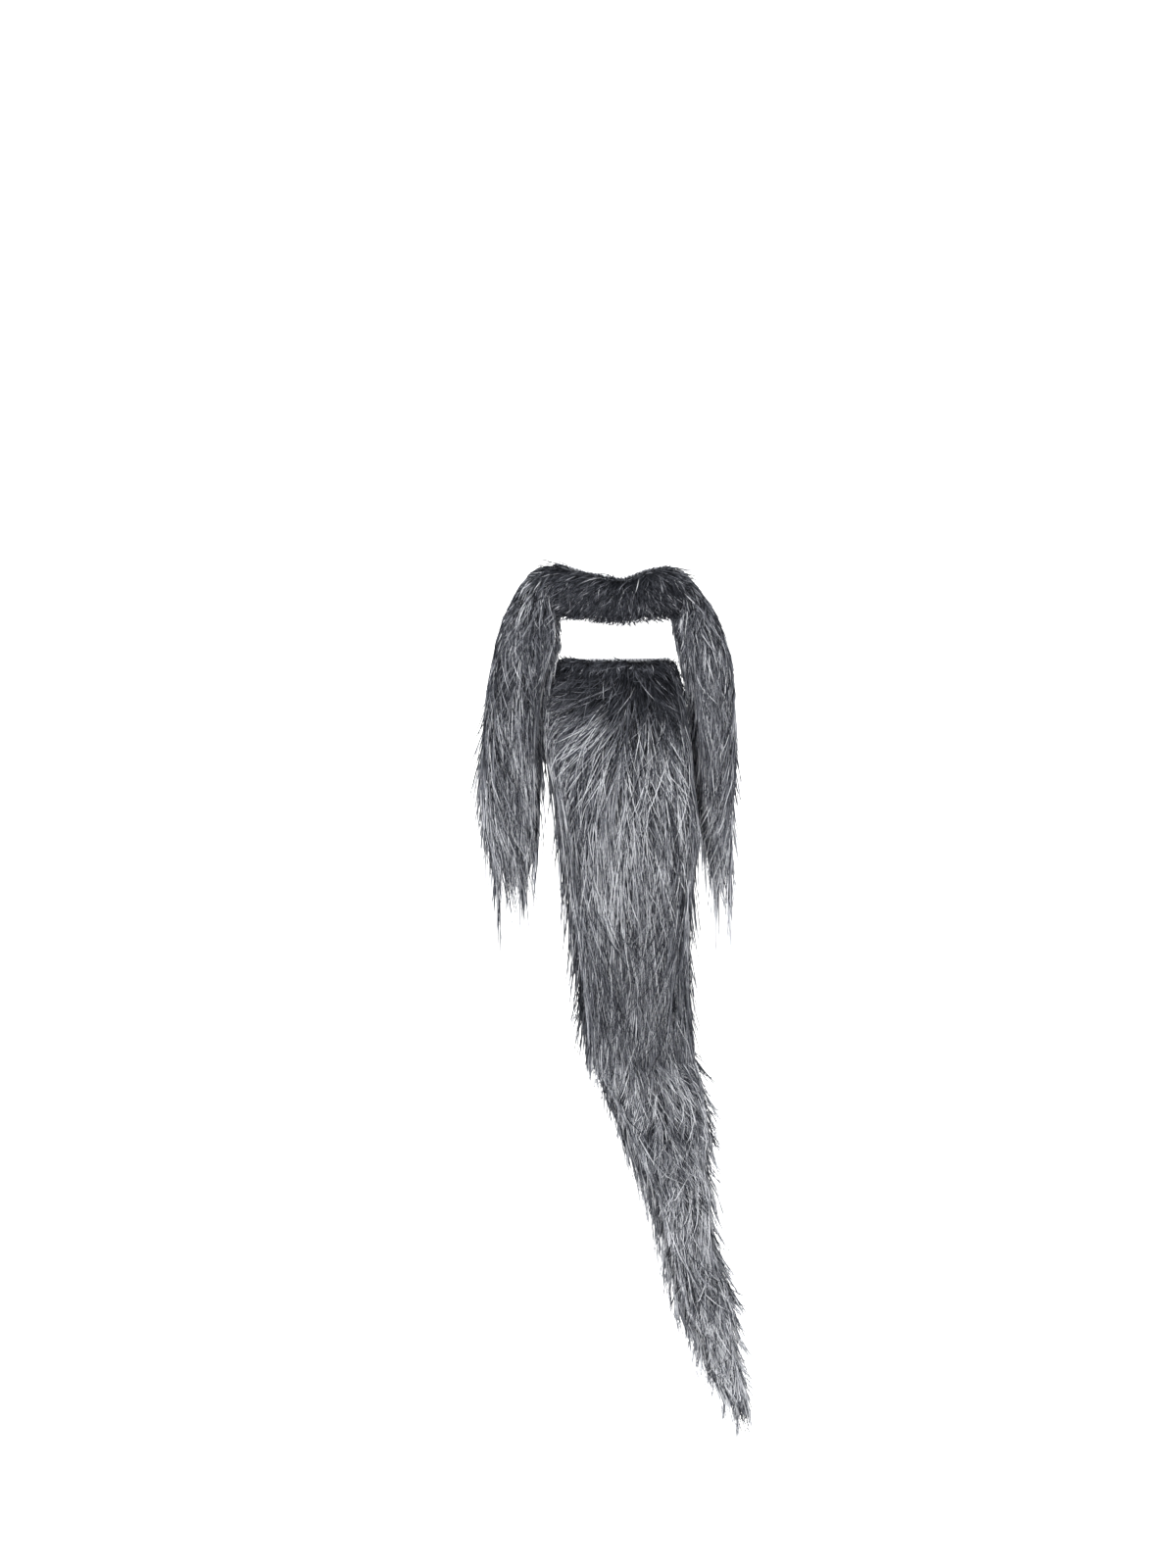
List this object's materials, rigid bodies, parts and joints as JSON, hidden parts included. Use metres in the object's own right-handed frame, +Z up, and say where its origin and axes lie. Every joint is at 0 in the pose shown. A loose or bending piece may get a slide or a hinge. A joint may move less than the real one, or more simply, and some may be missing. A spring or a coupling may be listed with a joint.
{
  "type": "fake beard",
  "caption": "Grey fur fake moustache with long hanging side locks, worn over a matching chin beard that tapers to a long tail, on knitted base cloths",
  "frame": {"origin": "The middle of the back face of the moustache's base cloth, where it sits on the upper lip", "axes": "+X is to the viewer's right, +Y points back into the face, +Z is up the face"},
  "size_m": [0.0973, 0.0351, 0.3037],
  "materials": {
    "base_cloth": "matt knitted cloth",
    "trimmed_fur": "short dark pile with silver tips",
    "long_fur": "long charcoal and silver pile"
  },
  "bodies": {
    "root": {"moustache_backing": "base_cloth", "moustache_fur": "trimmed_fur", "moustache_lock_left": "long_fur", "moustache_lock_right": "long_fur", "chin_backing": "base_cloth", "chin_fur": "long_fur", "tail_fur": "long_fur"}
  },
  "joints": []
}
